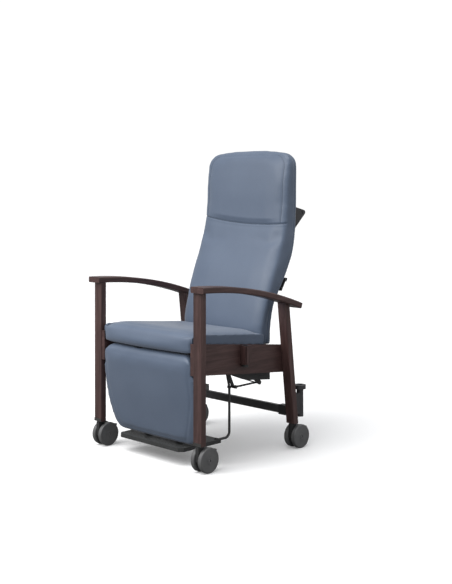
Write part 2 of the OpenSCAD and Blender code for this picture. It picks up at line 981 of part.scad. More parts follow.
module legrest_pad() {
    color(vinyl)
        difference() {
            intersection() {
                legrest_side(-pad_w / 2, pad_w / 2)
                    polygon(concat(
                        arc([0, 0], pad_r, 0, 180, 12),
                        [[-pad_r, -20], [-pad_back, -42], [-pad_back, pad_edge_r - pad_len]],
                        arc([pad_r - pad_edge_r, pad_edge_r - pad_len], pad_edge_r, -90, 0, 4)
                    ));
                legrest_front(60);
            }
            pin(hinge_a, tube_r + 0.3, -pad_w, pad_w);
            legrest_notches();
        }
}

// Room in the pad for the spring lever and for the bars
module legrest_notches() {
    legrest_side(-spring_x - 14, -spring_x + 14)
        polygon([[8, 0], [8, -22], [0, -50], [-2 * pad_r, -50], [-2 * pad_r, 10], [0, 2 * pad_r]]);
    both_sides()
        legrest_side(bar_x - bar_w / 2 - 1, bar_x + bar_w / 2 + 1)
            polygon([[1, 0], [-4, -50], [-2 * pad_r, -50], [-2 * pad_r, 6], [1, 6]]);
}

module footplate() {
    half = foot_w / 2;
    low_z = foot_top_z - foot_t;
    color(black)
        difference() {
            union() {
                translate([0, 0, low_z])
                    linear_extrude(foot_t)
                        polygon([
                            [-half + foot_corner, foot_front_y], [half - foot_corner, foot_front_y],
                            [half, foot_front_y + foot_corner], [half, foot_rear_y],
                            [-half, foot_rear_y], [-half, foot_front_y + foot_corner]
                        ]);
                for (s = [-1, 1], t = [-1, 1])
                    foot_lug(s * bar_x + t * (foot_lug_gap + foot_lug_t / 2));
                for (s = [-1, 1])
                    pin(hinge_b, pin_r, s * bar_x - foot_lug_gap - 1, s * bar_x + foot_lug_gap + 1);
            }
            for (s = [-1, 1])
                translate([s * lever_x - foot_notch_half, foot_rear_y - foot_notch_len, low_z - 1])
                    cube([2 * foot_notch_half, 2 * foot_notch_len, foot_t + 2]);
            for (i = [0:foot_rib_count - 1])
                translate([-half, foot_front_y + foot_rim + foot_rib_pitch * i, foot_top_z - foot_rib_depth])
                    cube([foot_w, foot_rib_w, foot_t]);
            translate([-half + foot_rim, foot_front_y + foot_rim, low_z - 1])
                cube([foot_w - 2 * foot_rim, foot_rear_y - foot_front_y - foot_rim - 32, foot_hollow]);
        }
    color(steel)
        for (s = [-1, 1])
            pin(hinge_d, pin_r, s * lever_x - foot_notch_half - 3, s * lever_x + foot_notch_half + 3);
}

module foot_lug(x) {
    across(x - foot_lug_t / 2, x + foot_lug_t / 2) {
        translate(hinge_b)
            circle(foot_lug_r);
        translate(hinge_b - [foot_lug_r, hinge_b[1] - foot_top_z + 1])
            square([2 * foot_lug_r, hinge_b[1] - foot_top_z + 1]);
    }
}

// Two bent rods on plates; the left plate runs on to the link rod's pin
module foot_levers() {
    color(black) {
        lever_body(true);
        mirror([1, 0, 0])
            lever_body(false);
    }
}

module lever_body(with_crank) {
    bend = [rod_low_y - rod_bend_r, hinge_d[1] + rod_bend_r];
    difference() {
        union() {
            side_bar(hinge_d + [6, 0], [bend[0], hinge_d[1]], lever_r, lever_x);
            translate([lever_x, bend[0], bend[1]])
                rotate([0, 90, 0])
                    rotate_extrude(angle = 90)
                        translate([rod_bend_r, 0])
                            circle(lever_r);
            side_bar([rod_low_y, bend[1]], rod_knee, lever_r, lever_x);
            pin(rod_knee, lever_r + 1.5, lever_x - lever_eye_half, lever_x + lever_eye_half);
            side_bar(rod_knee, rod_elbow, lever_r, lever_x);
            pin(hinge_d, eye_r, lever_x - lever_eye_half, lever_x + lever_eye_half);
            across(plate_in_x, plate_in_x + plate_t) {
                strip(hinge_c, rod_elbow, lever_plate_r);
                if (with_crank)
                    strip(rod_elbow, hinge_t, crank_r);
            }
            pin(hinge_c, lever_hub_r, plate_in_x - lever_hub_t, plate_in_x + plate_t / 2);
            if (with_crank)
                pin(hinge_t, pin_r, plate_in_x, link_x + link_eye_half + 1);
        }
        pin(hinge_c, shaft_r + fit_gap, 0, rail_in_x);
        pin(hinge_d, pin_r + open_pivot_gap, 0, rail_in_x);
    }
}

module link_rod() {
    color(black)
        difference() {
            union() {
                side_bar(hinge_t, hinge_f, link_r, link_x);
                for (p = [hinge_t, hinge_f])
                    pin(p, crank_r, link_x - link_eye_half, link_x + link_eye_half);
                side_bar(brace_start, brace_end, brace_r, link_x);
            }
            pin(hinge_t, pin_r + open_pivot_gap, 0, rail_in_x);
            pin(hinge_f, pin_r + fit_gap, 0, rail_in_x);
        }
}

module rocker_arm() {
    color(black)
        difference() {
            union() {
                across(rocker_x, rocker_x + rocker_t)
                    strip(hinge_e, hinge_f, rocker_r);
                pin(hinge_f, pin_r, link_x - link_eye_half - 0.5, rocker_x + rocker_t);
            }
            pin(hinge_e, axle_r + fit_gap, 0, rail_in_x);
        }
}

// ---------- casters ----------

// Drawn with the swivel axis at x = 0, y = 0
module caster_fork() {
    neck_top = leg_foot_z - collar_h;
    difference() {
        union() {
            across(-fork_half, fork_half) {
                translate(axle_at)
                    circle(hood_r);
                translate([-collar_r, hood_low_z])
                    square([2 * collar_r, neck_top - hood_low_z]);
            }
            translate([0, 0, neck_top])
                cylinder(h = collar_h, r = collar_r);
        }
        pin(axle_at, axle_r + fit_gap, -fork_half - 1, fork_half + 1);
        pin(pedal_pivot, pedal_pin_r + fit_gap, -fork_half - 1, fork_half + 1);
        translate([-hood_slot_half, pedal_slot[0], pedal_slot[1]])
            cube([2 * hood_slot_half, hood_r, hood_r]);
        translate([-fork_half - 1, hood_cut[0], -eps])
            cube([2 * fork_half + 2, hood_cut[1] - hood_cut[0], hood_cut_z]);
        translate([0, 0, neck_top - stem_root])
            cylinder(h = stem_len, r = stem_r);
    }
}

module caster_axle() {
    neck_top = leg_foot_z - collar_h;
    pin(axle_at, axle_r, -axle_half, axle_half);
    translate([0, 0, neck_top - stem_root])
        cylinder(h = stem_len + stem_root, r = stem_r);
}

// One wheel on the +X side: a rounded tread, a dished outer face and a bore for the axle
module caster_wheel() {
    translate([wheel_gap, axle_at[0], axle_at[1]])
        rotate([90, 0, 90])
            rotate_extrude()
                difference() {
                    union() {
                        square([wheel_r - tread_r, wheel_t]);
                        translate([0, tread_r])
                            square([wheel_r, wheel_t - 2 * tread_r]);
                        for (h = [tread_r, wheel_t - tread_r])
                            translate([wheel_r - tread_r, h])
                                circle(tread_r);
                    }
                    translate([-wheel_r, -wheel_r])
                        square([wheel_r + axle_r + fit_gap, 3 * wheel_r]);
                    translate([0, -1])
                        square([hood_r, 5]);
                }
    translate([wheel_gap + 6, axle_at[0], axle_at[1]])
        rotate([0, 90, 0])
            difference() {
                cylinder(h = wheel_t - hood_slot_half, r = hub_r);
                translate([0, 0, -1])
                    cylinder(h = wheel_t, r = axle_r + fit_gap);
            }
}

module brake_pedal() {
    across(-4, 4) {
        translate(pedal_pivot)
            circle(5);
        strip(pedal_pivot, pedal_tip, 3);
    }
    pin(pedal_pivot, pedal_pin_r, -fork_half + 0.5, fork_half - 0.5);
    translate([-pedal_pad[0] / 2, pedal_tip[0] - 2, pedal_tip[1] - pedal_pad[2] / 2])
        cube(pedal_pad);
}

// part: 1 fork, 2 axle, 3 inner wheel, 4 outer wheel, 5 brake pedal
module caster(side, foot_y, part) {
    colours = [black, steel, wheel_grey, wheel_grey, black];
    color(colours[part - 1])
        translate([side * leg_x, foot_y, 0]) {
            if (part == 1)
                caster_fork();
            if (part == 2)
                caster_axle();
            if (part == 3)
                mirror([side > 0 ? 1 : 0, 0, 0])
                    caster_wheel();
            if (part == 4)
                mirror([side > 0 ? 0 : 1, 0, 0])
                    caster_wheel();
            if (part == 5)
                brake_pedal();
        }
}

// ---------- nodes ----------

front_leg();  // front_leg_left
mirror([1, 0, 0]) front_leg();  // front_leg_right
rear_leg();  // rear_leg_left
mirror([1, 0, 0]) rear_leg();  // rear_leg_right
armrest();  // armrest_left
mirror([1, 0, 0]) armrest();  // armrest_right
side_rail();  // side_rail_left
mirror([1, 0, 0]) side_rail();  // side_rail_right
tray_sockets();
tray_sleeves();
bright_fittings();
rear_stretcher();
stretcher_brackets();
pole_holder();
seat_side_tubes();
seat_cross_tubes();
seat_board();
seat_cushion();
spring_brackets();
pivot_pins();
mechanism_housing();
back_spring_cylinder();
legrest_spring_cylinder();
back_pivot_tube();
back_frame();
back_shell();
back_cushion();
handle_brackets();
handle_grip();
recline_lever();
back_spring_rod();
legrest_tube();
legrest_bars();
legrest_board();
legrest_pad();
footplate();
foot_levers();
link_rod();
rocker_arm();
legrest_spring_rod();
caster(1, front_leg_y, 1);  // front_left_caster_fork
caster(1, front_leg_y, 2);  // front_left_caster_axle
caster(1, front_leg_y, 3);  // front_left_wheel_inner
caster(1, front_leg_y, 4);  // front_left_wheel_outer
caster(1, front_leg_y, 5);  // front_left_brake_pedal
caster(-1, front_leg_y, 1);  // front_right_caster_fork
caster(-1, front_leg_y, 2);  // front_right_caster_axle
caster(-1, front_leg_y, 3);  // front_right_wheel_inner
caster(-1, front_leg_y, 4);  // front_right_wheel_outer
caster(-1, front_leg_y, 5);  // front_right_brake_pedal
caster(1, rear_foot_y, 1);  // rear_left_caster_fork
caster(1, rear_foot_y, 2);  // rear_left_caster_axle
caster(1, rear_foot_y, 3);  // rear_left_wheel_inner
caster(1, rear_foot_y, 4);  // rear_left_wheel_outer
caster(1, rear_foot_y, 5);  // rear_left_brake_pedal
caster(-1, rear_foot_y, 1);  // rear_right_caster_fork
caster(-1, rear_foot_y, 2);  // rear_right_caster_axle
caster(-1, rear_foot_y, 3);  // rear_right_wheel_inner
caster(-1, rear_foot_y, 4);  // rear_right_wheel_outer
caster(-1, rear_foot_y, 5);  // rear_right_brake_pedal
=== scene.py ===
"""Patient recliner chair: the looks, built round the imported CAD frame. Metres, Z up, the chair faces -Y."""
import json
import math

import bmesh
import bpy
import numpy as np
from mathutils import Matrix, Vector


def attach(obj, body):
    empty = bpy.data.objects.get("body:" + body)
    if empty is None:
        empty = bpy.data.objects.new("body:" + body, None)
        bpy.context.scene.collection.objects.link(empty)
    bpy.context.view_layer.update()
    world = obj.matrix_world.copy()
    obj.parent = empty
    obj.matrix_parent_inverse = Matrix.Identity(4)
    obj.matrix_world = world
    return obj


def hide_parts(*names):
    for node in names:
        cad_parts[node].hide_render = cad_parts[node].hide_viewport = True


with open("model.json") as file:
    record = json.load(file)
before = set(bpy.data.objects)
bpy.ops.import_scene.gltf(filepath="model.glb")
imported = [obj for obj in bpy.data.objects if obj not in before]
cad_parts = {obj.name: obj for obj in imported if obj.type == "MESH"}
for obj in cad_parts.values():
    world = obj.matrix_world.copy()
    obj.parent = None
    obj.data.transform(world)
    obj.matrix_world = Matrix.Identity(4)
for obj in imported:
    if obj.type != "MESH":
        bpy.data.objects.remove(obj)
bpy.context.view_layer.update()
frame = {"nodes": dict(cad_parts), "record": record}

scene = bpy.context.scene
nodes = frame["nodes"]


# ---------- camera ----------

CAMERA_PLACE = (3.004, -2.950, 1.053)
CAMERA_YAW = math.radians(44.65)
SENSOR_WIDTH_MM = 36
LENS_MM = 63.55
LENS_SHIFT_X = -0.001
LENS_SHIFT_Y = -0.183


def make_camera():
    data = bpy.data.cameras.new("camera")
    cam = bpy.data.objects.new("camera", data)
    scene.collection.objects.link(cam)
    cam.location = CAMERA_PLACE
    cam.rotation_euler = (math.radians(90), 0, CAMERA_YAW)
    data.sensor_width = SENSOR_WIDTH_MM
    data.lens = LENS_MM
    data.shift_x = LENS_SHIFT_X
    data.shift_y = LENS_SHIFT_Y
    scene.camera = cam


make_camera()


# ---------- shader helpers ----------

EVEN = (1, 1, 1)


def new_material(name):
    mat = bpy.data.materials.new(name)
    mat.use_nodes = True
    tree = mat.node_tree
    bsdf = tree.nodes["Principled BSDF"]
    return mat, tree, bsdf


def set_inputs(node, **values):
    """Sets constant sockets; an underscore in a key stands for a space."""
    for key, value in values.items():
        node.inputs[key.replace("_", " ")].default_value = value


def add(tree, kind, **values):
    node = tree.nodes.new(kind)
    set_inputs(node, **values)
    return node


def coords(tree, scale):
    tex = tree.nodes.new("ShaderNodeTexCoord")
    mapping = add(tree, "ShaderNodeMapping", Scale=scale)
    tree.links.new(tex.outputs["Object"], mapping.inputs["Vector"])
    return mapping.outputs["Vector"]


def noise_tex(tree, vector, scale, detail, rough, distortion=0.0):
    node = add(tree, "ShaderNodeTexNoise", Scale=scale, Detail=detail, Roughness=rough, Distortion=distortion)
    tree.links.new(vector, node.inputs["Vector"])
    return node.outputs["Fac"]


def ramp(tree, fac, stops):
    """A colour ramp through the stops, each a position and an RGB colour or a grey level."""
    node = tree.nodes.new("ShaderNodeValToRGB")
    while len(node.color_ramp.elements) < len(stops):
        node.color_ramp.elements.new(0.5)
    for element, (position, value) in zip(node.color_ramp.elements, stops):
        element.position = position
        element.color = (*value, 1) if isinstance(value, tuple) else (value, value, value, 1)
    tree.links.new(fac, node.inputs["Fac"])
    return node.outputs["Color"]


def between(tree, fac, low, high):
    """Runs from low to high over the middle of a noise's range."""
    return ramp(tree, fac, [(0.3, low), (0.7, high)])


def mixed(tree, share, first, second):
    """Mixes a share of the second value into the first."""
    node = tree.nodes.new("ShaderNodeMix")
    node.data_type = "FLOAT"
    node.inputs[0].default_value = share
    tree.links.new(first, node.inputs[2])
    tree.links.new(second, node.inputs[3])
    return node.outputs[0]


def bump(tree, height, strength, distance, normal=None):
    node = add(tree, "ShaderNodeBump", Strength=strength, Distance=distance)
    tree.links.new(height, node.inputs["Height"])
    if normal is not None:
        tree.links.new(normal, node.inputs["Normal"])
    return node.outputs["Normal"]


def connect(tree, bsdf, colour, roughness, normal):
    tree.links.new(colour, bsdf.inputs["Base Color"])
    tree.links.new(roughness, bsdf.inputs["Roughness"])
    tree.links.new(normal, bsdf.inputs["Normal"])


# ---------- materials ----------

def vinyl_material(name, dark, light, sheen):
    """Satin upholstery vinyl: a fine pebbled grain, faint creases and a slow drift in colour and gloss."""
    mat, tree, bsdf = new_material(name)
    vec = coords(tree, EVEN)
    drift = noise_tex(tree, vec, 5.5, 3, 0.55)
    fine = noise_tex(tree, vec, 260, 3, 0.6)
    colour = ramp(tree, mixed(tree, 0.3, drift, fine), [(0.32, dark), (0.68, light)])
    roughness = between(tree, drift, 0.43, 0.53)
    cells = add(tree, "ShaderNodeTexVoronoi", Scale=620, Randomness=0.9)
    cells.feature = "SMOOTH_F1"
    tree.links.new(vec, cells.inputs["Vector"])
    creases = noise_tex(tree, vec, 38, 4, 0.62, 0.4)
    pebbles = bump(tree, cells.outputs["Distance"], 0.16, 0.0005)
    connect(tree, bsdf, colour, roughness, bump(tree, creases, 0.06, 0.0016, pebbles))
    set_inputs(bsdf, Specular_IOR_Level=0.5, Coat_Weight=0.06, Coat_Roughness=0.35)
    set_inputs(bsdf, Sheen_Weight=sheen, Sheen_Roughness=0.45)
    return mat


def wood_material(name, along):
    """Dark stained walnut under satin lacquer, the grain running along axis 0, 1 or 2."""
    mat, tree, bsdf = new_material(name)
    stretch = [1.0, 1.0, 1.0]
    stretch[along] = 0.055
    vec = coords(tree, stretch)
    figure = noise_tex(tree, vec, 46, 5, 0.6, 1.2)
    fibre = noise_tex(tree, vec, 420, 3, 0.6, 0.2)
    blotch = noise_tex(tree, coords(tree, EVEN), 7, 2, 0.5)
    grain = mixed(tree, 0.35, figure, fibre)
    stain = ramp(tree, grain, [
        (0.30, (0.033, 0.0162, 0.0148)),
        (0.50, (0.075, 0.0395, 0.0362)),
        (0.68, (0.125, 0.070, 0.065)),
    ])
    tone = tree.nodes.new("ShaderNodeMix")
    tone.data_type = "RGBA"
    tone.blend_type = "MULTIPLY"
    tone.inputs[0].default_value = 0.5
    tree.links.new(stain, tone.inputs[6])
    tree.links.new(between(tree, blotch, 0.72, 1.0), tone.inputs[7])
    roughness = between(tree, fibre, 0.36, 0.52)
    connect(tree, bsdf, tone.outputs[2], roughness, bump(tree, grain, 0.22, 0.0006))
    set_inputs(bsdf, Specular_IOR_Level=0.4, Coat_Weight=0.12, Coat_Roughness=0.35)
    return mat


def textured_material(name, dark, light, rough, grain, depth):
    """Powder coat or moulded plastic: two close tones, a fine grain and a little uneven gloss."""
    mat, tree, bsdf = new_material(name)
    vec = coords(tree, EVEN)
    slow = noise_tex(tree, vec, 22, 3, 0.55)
    fine = noise_tex(tree, vec, grain, 2, 0.6)
    roughness = between(tree, slow, rough - 0.06, rough + 0.07)
    connect(tree, bsdf, between(tree, slow, dark, light), roughness, bump(tree, fine, 0.3, depth))
    return mat


def brushed_material(name, dark, light):
    """Metal with fine brushed lines along X."""
    mat, tree, bsdf = new_material(name)
    lines = noise_tex(tree, coords(tree, (0.05, 1, 1)), 900, 3, 0.6)
    slow = noise_tex(tree, coords(tree, EVEN), 18, 2, 0.5)
    roughness = between(tree, lines, 0.26, 0.42)
    connect(tree, bsdf, between(tree, slow, dark, light), roughness, bump(tree, lines, 0.15, 0.0002))
    set_inputs(bsdf, Metallic=1.0)
    return mat


def board_material(name):
    """Bare plywood with its figure along Y."""
    mat, tree, bsdf = new_material(name)
    figure = noise_tex(tree, coords(tree, (1, 0.08, 1)), 60, 4, 0.6, 0.6)
    colour = between(tree, figure, (0.30, 0.19, 0.10), (0.48, 0.34, 0.20))
    connect(tree, bsdf, colour, between(tree, figure, 0.6, 0.75), bump(tree, figure, 0.2, 0.0005))
    return mat


VINYL = vinyl_material("vinyl_blue_grey", (0.085, 0.117, 0.176), (0.102, 0.137, 0.200), 0.25)
# The seam cords get a darker copy of the vinyl: the darker colour is painted shade in the sunk seams.
SEAM_PAINTED_SHADE = vinyl_material("vinyl_seam_painted_shade", (0.050, 0.070, 0.105), (0.064, 0.088, 0.130), 0.1)
WOOD_UP = wood_material("walnut_upright", 2)
WOOD_ALONG = wood_material("walnut_along", 1)
BLACK_METAL = textured_material(
    "black_powder_coat", (0.042, 0.042, 0.043), (0.060, 0.060, 0.061), 0.46, 1500, 0.0003)
BLACK_PLASTIC = textured_material(
    "black_plastic", (0.020, 0.020, 0.020), (0.030, 0.030, 0.030), 0.5, 1100, 0.0003)
HANDLE = textured_material(
    "handle_plastic", (0.040, 0.038, 0.040), (0.055, 0.053, 0.056), 0.5, 1100, 0.0003)
FOOT = textured_material(
    "footplate_plastic", (0.032, 0.033, 0.033), (0.044, 0.045, 0.045), 0.5, 700, 0.0005)
WHEEL = textured_material(
    "wheel_plastic", (0.096, 0.096, 0.097), (0.130, 0.130, 0.131), 0.46, 1200, 0.0003)
STEEL = brushed_material("brushed_steel", (0.42, 0.43, 0.44), (0.60, 0.60, 0.61))
FITTINGS = brushed_material("satin_fittings", (0.14, 0.135, 0.13), (0.20, 0.195, 0.19))
BOARD = board_material("plywood")

BY_SLOT = {
    "wood": WOOD_ALONG,
    "vinyl": VINYL,
    "board": BOARD,
    "black_metal": BLACK_METAL,
    "bright_steel": STEEL,
    "black_plastic": BLACK_PLASTIC,
    "wheel": WHEEL,
}


def material_for(name, slot):
    """The slot's material, apart from the pieces whose grain or finish differs."""
    if "_leg_" in name or name == "tray_sockets":
        return WOOD_UP
    if name == "footplate":
        return FOOT
    if name == "bright_fittings":
        return FITTINGS
    if name.startswith("handle_") or name == "pole_holder":
        return HANDLE
    return BY_SLOT[slot]


for part in frame["record"]["subparts"]:
    for material_slot in nodes[part["node"]].material_slots:
        material_slot.material = material_for(part["node"], part["material_slot"])


# ---------- shape helpers ----------

def gauss(d, width):
    return math.exp(-(d / width) ** 2)


def smoothstep(a, b, x):
    """0 at x = a and 1 at x = b, eased between them; either of the two may be the larger."""
    t = min(max((x - a) / (b - a), 0.0), 1.0)
    return t * t * (3 - 2 * t)


def inset_distance(x, z, half, top, corner):
    """Distance inside a panel's outline, which has rounded upper corners and runs on below."""
    dx, dz = abs(x) - (half - corner), z - (top - corner)
    if dx > 0 and dz > 0:
        return corner - math.hypot(dx, dz)
    return corner - max(dx, dz)


def steps(a, b, n):
    return [a + (b - a) * i / n for i in range(n + 1)]


def points_of(mesh):
    flat = np.empty(len(mesh.vertices) * 3)
    mesh.vertices.foreach_get("co", flat)
    return flat.reshape(-1, 3)


def set_points(mesh, points):
    mesh.vertices.foreach_set("co", points.ravel())
    mesh.update()


def box_of(obj):
    points = points_of(obj.data)
    return points.min(axis=0), points.max(axis=0)


def averaged(mesh, values, rounds):
    """Spreads a value per vertex over its neighbours, rounds times."""
    ends = np.empty(len(mesh.edges) * 2, dtype=np.int64)
    mesh.edges.foreach_get("vertices", ends)
    a, b = ends.reshape(-1, 2).T
    count = np.bincount(ends, minlength=len(values))
    for _ in range(rounds):
        total = np.bincount(a, values[b], len(values)) + np.bincount(b, values[a], len(values))
        values = 0.5 * (values + total / count)
    return values


# ---------- soft goods: the common steps ----------

SIM_FRAMES = 20
SPREAD_ROUNDS = 30
PIN_FROM = 0.02
SEAM_PROUD = 0.3
INTO_CLOTH = Vector((0, 1, 0))


def joined_copy(name, sources):
    """One new mesh object holding copies of the named CAD nodes' meshes."""
    bm = bmesh.new()
    for source in sources:
        bm.from_mesh(nodes[source].data)
    bmesh.ops.remove_doubles(bm, verts=bm.verts, dist=1e-5)
    mesh = bpy.data.meshes.new(name)
    bm.to_mesh(mesh)
    bm.free()
    obj = bpy.data.objects.new(name, mesh)
    scene.collection.objects.link(obj)
    return obj


def apply_modifiers(obj):
    bpy.context.view_layer.update()
    deps = bpy.context.evaluated_depsgraph_get()
    mesh = bpy.data.meshes.new_from_object(obj.evaluated_get(deps))
    old = obj.data
    obj.modifiers.clear()
    obj.data = mesh
    bpy.data.meshes.remove(old)


def remesh(obj, voxel):
    modifier = obj.modifiers.new("remesh", "REMESH")
    modifier.mode = "VOXEL"
    modifier.voxel_size = voxel
    apply_modifiers(obj)


def soften(obj, rounds, hold):
    """Rounds the edges by smoothing. hold(point), from 0 to 1, keeps a point where it is."""
    rest = [v.co.copy() for v in obj.data.vertices]
    modifier = obj.modifiers.new("smooth", "SMOOTH")
    modifier.factor = 0.5
    modifier.iterations = rounds
    apply_modifiers(obj)
    for v, r in zip(obj.data.vertices, rest):
        v.co = v.co.lerp(r, hold(r))


def add_cloth(obj, pressure, keep):
    """Cloth under an even inner pressure, pinned where keep is above PIN_FROM, without gravity."""
    group = obj.vertex_groups.new(name="pin")
    for i, k in enumerate(keep):
        if k > PIN_FROM:
            group.add([i], min(k, 1.0), "REPLACE")
    modifier = obj.modifiers.new("cloth", "CLOTH")
    cloth = modifier.settings
    cloth.quality = 5
    cloth.mass = 0.4
    cloth.tension_stiffness = 18
    cloth.compression_stiffness = 18
    cloth.shear_stiffness = 8
    cloth.bending_stiffness = 6
    cloth.air_damping = 2
    cloth.shrink_min = -0.02
    cloth.use_pressure = True
    cloth.uniform_pressure_force = pressure
    cloth.vertex_group_mass = "pin"
    cloth.effector_weights.gravity = 0
    modifier.collision_settings.use_self_collision = False
    modifier.point_cache.frame_start = 1
    modifier.point_cache.frame_end = SIM_FRAMES


def inflate(obj, pressure, cap, hold):
    """Cloth simulation: the closed skin swells by its pressure. Only the swelling along the normals, up to
    cap, is kept, and it is smoothed over the surface, so that no creases are left."""
    mesh = obj.data
    start = points_of(mesh)
    keep = np.array([hold(v.co) for v in mesh.vertices])
    normals = np.array([v.normal for v in mesh.vertices])
    add_cloth(obj, pressure, keep)
    for f in range(1, SIM_FRAMES + 1):
        scene.frame_set(f)
    apply_modifiers(obj)
    scene.frame_set(1)
    obj.vertex_groups.clear()
    mesh = obj.data
    swell = np.clip(((points_of(mesh) - start) * normals).sum(axis=1), 0.0, cap) * (1.0 - keep)
    swell = averaged(mesh, swell, SPREAD_ROUNDS) * (1.0 - keep)
    set_points(mesh, start + normals * swell[:, None])


def fit_to(obj, box, wider, forward):
    """Brings the piece's outer size back to that of the solid it stands for, a little fuller where asked."""
    low, high = np.array(box[0]), np.array(box[1])
    low -= (wider, forward, 0)
    high += (wider, 0, 0)
    points = points_of(obj.data)
    a, b = points.min(axis=0), points.max(axis=0)
    set_points(obj.data, low + (points - a) / (b - a) * (high - low))


def padded_form(name, sources, hold, voxel, rounds, pressure, cap, wider, forward):
    """Turns plain CAD solids into one swollen form of about their size."""
    obj = joined_copy(name, sources)
    box = box_of(obj)
    remesh(obj, voxel)
    soften(obj, rounds, hold)
    inflate(obj, pressure, cap, hold)
    fit_to(obj, box, wider, forward)
    return obj


def subdivide(obj):
    modifier = obj.modifiers.new("subdivision", "SUBSURF")
    modifier.levels = 1
    modifier.render_levels = 1
    apply_modifiers(obj)
    obj.data.shade_smooth()


def displace(obj, depth_at):
    """Moves each point along its normal by depth_at(point, normal), outward positive."""
    mesh = obj.data
    moves = [v.normal * depth_at(v.co, v.normal) for v in mesh.vertices]
    for v, move in zip(mesh.vertices, moves):
        v.co += move
    mesh.update()


def finish_soft(obj, detail, body, replaced):
    """Adds the fine shape, then puts the piece on its body in place of the CAD solids."""
    subdivide(obj)
    displace(obj, detail)
    obj.data.materials.clear()
    obj.data.materials.append(VINYL)
    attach(obj, body)
    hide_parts(*replaced)
    bpy.context.view_layer.update()


def sew_line(name, cloth, body, path, ahead, radius):
    """A seam: a thin cord, partly sunk, where the path's (x, z) points meet the cloth from y = ahead. The
    cord's darker vinyl is painted shade in the seam.
    """
    points = []
    for x, z in path:
        hit, place, _, _ = cloth.ray_cast(Vector((x, ahead, z)), INTO_CLOTH)
        if hit:
            points.append(place - INTO_CLOTH * (radius * SEAM_PROUD))
    curve = bpy.data.curves.new(name, "CURVE")
    curve.dimensions = "3D"
    curve.bevel_depth = radius
    curve.bevel_resolution = 2
    curve.use_fill_caps = True
    line = curve.splines.new("POLY")
    line.points.add(len(points) - 1)
    for q, place in zip(line.points, points):
        q.co = (*place, 1)
    holder = bpy.data.objects.new(name + "_curve", curve)
    scene.collection.objects.link(holder)
    bpy.context.view_layer.update()
    mesh = bpy.data.meshes.new_from_object(holder.evaluated_get(bpy.context.evaluated_depsgraph_get()))
    bpy.data.objects.remove(holder)
    obj = bpy.data.objects.new(name, mesh)
    scene.collection.objects.link(obj)
    mesh.materials.clear()
    # The darker vinyl on the cord is painted shade in the seam.
    mesh.materials.append(SEAM_PAINTED_SHADE)
    mesh.shade_smooth()
    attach(obj, body)


# ---------- the back ----------
# Cushion and shell are one upholstered form, flat where the steel uprights bear on it

BACK_NODES = ["back_cushion", "back_shell"]
BACK_AHEAD = -0.2
HEAD_HALF = 0.212
HEAD_TOP = 1.176
HEAD_CORNER = 0.052
HEAD_SEAM_HALF = 0.226
HEAD_SEAM_Z = 0.894
HEAD_SEAM_CURVE = 0.0115
HEAD_SEAM_TILT = 0.0105
HEAD_SEAM_SINK = 0.0028
HEAD_SEAM_WIDTH = 0.0034
HEAD_SEAM_R = 0.0008
UNDER_SEAM_SINK = 0.0012
UNDER_SEAM_DROP = 0.011
UNDER_SEAM_WIDTH = 0.010
SIDE_SEAM_SINK = 0.0010
SIDE_SEAM_WIDTH = 0.0045
SIDE_SEAM_R = 0.0006
HEAD_PUFF = 0.0060
LUMBAR_PUFF = 0.0050
LUMBAR_Z = 0.66
SHELL_EDGE = 0.022
SHELL_GROOVE = 0.0024
SHELL_GROOVE_WIDTH = 0.0034

# The CAD's rear line of the back in side view, as (z, y), carried straight up past its rounded top
REAR_LINE = [
    (0.413, 0.112), (0.490, 0.113), (0.546, 0.122), (0.600, 0.142), (0.666, 0.186), (0.711, 0.211),
    (0.752, 0.232), (0.798, 0.248), (0.860, 0.259), (0.960, 0.265), (1.060, 0.267), (1.198, 0.267),
]


def rear_line(z):
    """The rear surface of the back at height z."""
    for (z0, y0), (z1, y1) in zip(REAR_LINE, REAR_LINE[1:]):
        if z <= z1:
            return y0 + (y1 - y0) * (z - z0) / (z1 - z0)
    return REAR_LINE[-1][1]


def back_hold(p):
    """Keeps the rear face as it is, apart from its sides and its top, where it may round off."""
    behind = smoothstep(0.012, 0.004, rear_line(p.z) - p.y)
    return behind * smoothstep(0.236, 0.205, abs(p.x)) * smoothstep(1.175, 1.14, p.z)


def head_seam_z(x):
    """Height of the seam under the headrest: it sags across and ends higher towards -X."""
    t = x / HEAD_HALF
    return HEAD_SEAM_Z + HEAD_SEAM_CURVE * t * t - HEAD_SEAM_TILT * t


def back_detail(p, n):
    """The sunk seams round the headrest, its puff, the lumbar puff and the groove along the shell's edge."""
    front = smoothstep(0.15, 0.6, -n.y)
    facing = smoothstep(0.0, 0.25, -n.y)
    sideways = smoothstep(0.3, 0.7, abs(n.x) + abs(n.z) * 0.6)
    d = p.z - head_seam_z(p.x)
    inset = inset_distance(p.x, p.z, HEAD_HALF, HEAD_TOP, HEAD_CORNER)
    behind = rear_line(p.z) - p.y
    puff = HEAD_PUFF * smoothstep(0.0, 0.026, d) * smoothstep(0.26, 0.05, d)
    out = -HEAD_SEAM_SINK * gauss(d, HEAD_SEAM_WIDTH) * front
    out -= UNDER_SEAM_SINK * gauss(d + UNDER_SEAM_DROP, UNDER_SEAM_WIDTH) * front
    out += puff * front * smoothstep(0.0, 0.090, inset)
    out -= SIDE_SEAM_SINK * gauss(inset, SIDE_SEAM_WIDTH) * smoothstep(-0.006, 0.004, d) * facing
    out += LUMBAR_PUFF * gauss(p.z - LUMBAR_Z, 0.10) * front * smoothstep(0.0, 0.10, inset)
    out -= SHELL_GROOVE * gauss(behind - SHELL_EDGE, SHELL_GROOVE_WIDTH) * sideways
    return out


def head_side_path(side):
    """The seam up the headrest's side and round its upper corner, as (x, z)."""
    path = [(side * HEAD_HALF, z) for z in steps(head_seam_z(side * HEAD_HALF), HEAD_TOP - HEAD_CORNER, 40)]
    for degrees in steps(0, 80, 16):
        angle = math.radians(degrees)
        path.append((side * (HEAD_HALF - HEAD_CORNER * (1 - math.cos(angle))),
                     HEAD_TOP - HEAD_CORNER * (1 - math.sin(angle))))
    return path


